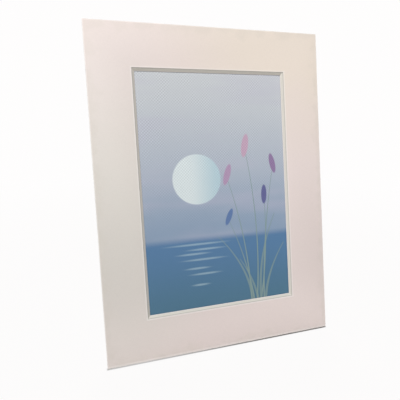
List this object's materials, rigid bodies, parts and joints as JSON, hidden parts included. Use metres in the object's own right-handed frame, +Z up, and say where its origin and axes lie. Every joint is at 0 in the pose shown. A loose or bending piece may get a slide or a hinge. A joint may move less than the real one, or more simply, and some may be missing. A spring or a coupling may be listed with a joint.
{
  "type": "cardboard photo frame",
  "caption": "Free-standing photo frame of pale card: a mat board with a bevel-cut window over a slot-in print, leaning back on a folded card easel with a lock flap.",
  "frame": {"origin": "middle of the bounding box, on the surface that the frame stands on", "axes": "+Z up, the frame faces -Y and leans back towards +Y, +X to the right as seen from the front"},
  "size_m": [0.1484, 0.0646, 0.1968],
  "materials": {
    "mat_board": "matte",
    "print_paper": "satin",
    "spacer_card": "matte",
    "back_board": "matte",
    "easel_card": "matte"
  },
  "bodies": {
    "root": {"front_mat": "mat_board", "picture_print": "print_paper", "spacer_left": "spacer_card", "spacer_right": "spacer_card", "spacer_bottom": "spacer_card", "backboard": "back_board", "easel": "easel_card"}
  },
  "joints": []
}
